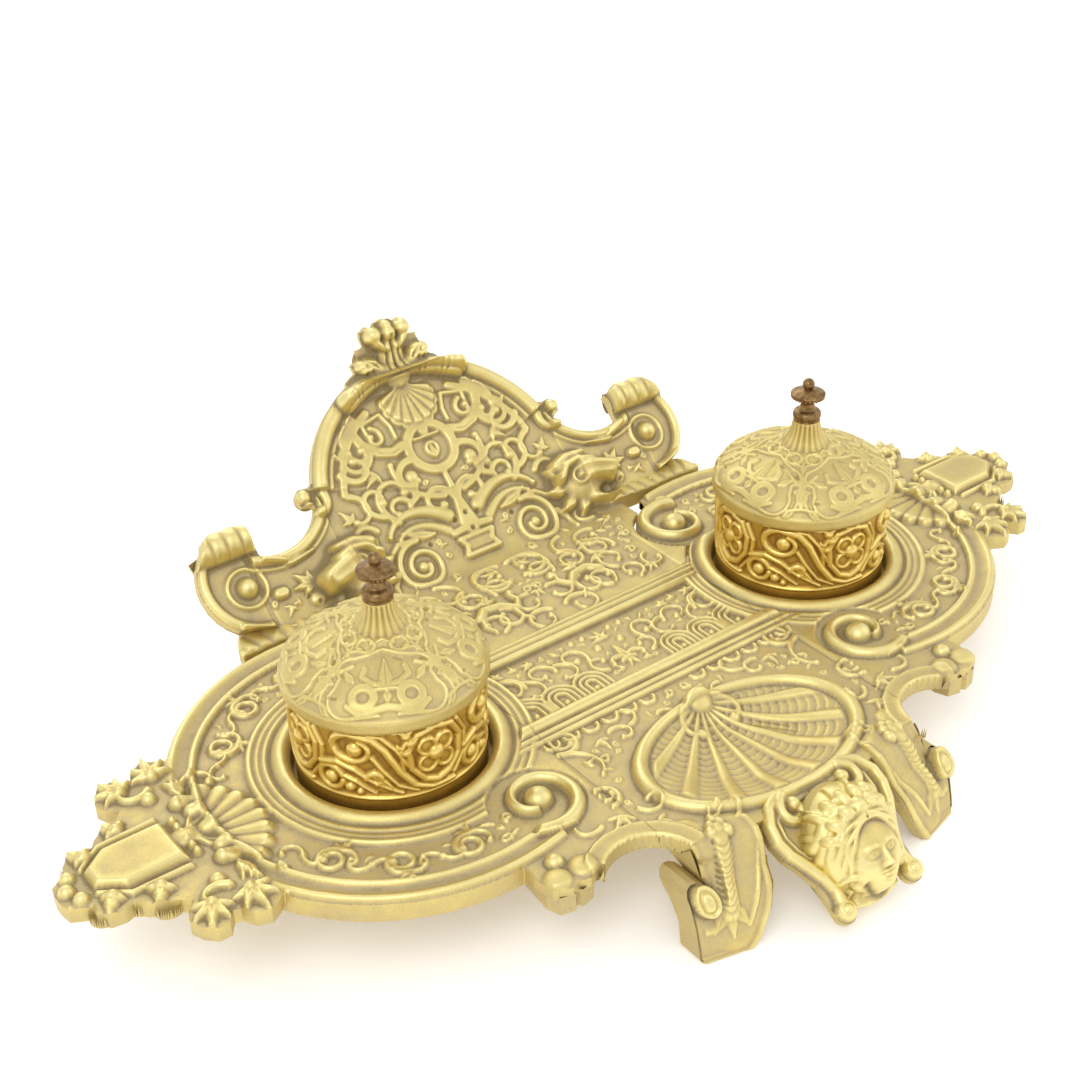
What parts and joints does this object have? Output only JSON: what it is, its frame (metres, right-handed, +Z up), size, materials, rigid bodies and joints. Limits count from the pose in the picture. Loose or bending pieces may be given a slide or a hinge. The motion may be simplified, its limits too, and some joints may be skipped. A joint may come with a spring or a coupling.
{
  "type": "desk inkstand",
  "caption": "Cast brass desk inkstand: lobed tray on feet with lift-out covered inkwells, a pen groove, a shell dish and an arched back panel.",
  "frame": {"origin": "on the table, at the middle of the length and depth; the inkwell axes stand 2.55 mm in front of it", "axes": "+X to the right, +Y to the back panel, +Z up"},
  "size_m": [0.37, 0.247, 0.0986],
  "materials": {
    "tray": "cast, gilt and worn",
    "back_panel": "cast, gilt and worn",
    "feet": "cast",
    "wells": "gilt, glossy",
    "lids": "cast, gilt and worn",
    "knobs": "turned, bronzed",
    "nuts": "plain",
    "liners": "moulded clear glass",
    "screws": "blackened"
  },
  "bodies": {
    "base": {"tray": "tray", "back_panel": "back_panel", "rear_foot_left": "feet", "rear_foot_right": "feet", "panel_screws": "screws", "foot_screws": "screws"},
    "inkwell_left": {"well_left": "wells"},
    "inkwell_right": {"well_right": "wells"},
    "liner_left": {"ink_liner_left": "liners"},
    "liner_right": {"ink_liner_right": "liners"},
    "cover_left": {"lid_left": "lids", "knob_left": "knobs", "knob_nut_left": "nuts"},
    "cover_right": {"lid_right": "lids", "knob_right": "knobs", "knob_nut_right": "nuts"}
  },
  "joints": [
    {"name": "inkwell_left_lift", "type": "slide", "parent": "base", "child": "inkwell_left", "axis": [0, 0, 1], "range_m": [0, 0.045]},
    {"name": "inkwell_right_lift", "type": "slide", "parent": "base", "child": "inkwell_right", "axis": [0, 0, 1], "range_m": [0, 0.045]},
    {"name": "liner_left_lift", "type": "slide", "parent": "inkwell_left", "child": "liner_left", "axis": [0, 0, 1], "range_m": [0, 0.04]},
    {"name": "liner_right_lift", "type": "slide", "parent": "inkwell_right", "child": "liner_right", "axis": [0, 0, 1], "range_m": [0, 0.04]},
    {"name": "lid_left_lift", "type": "slide", "parent": "liner_left", "child": "cover_left", "axis": [0, 0, 1], "range_m": [0, 0.035]},
    {"name": "lid_right_lift", "type": "slide", "parent": "liner_right", "child": "cover_right", "axis": [0, 0, 1], "range_m": [0, 0.035]}
  ]
}
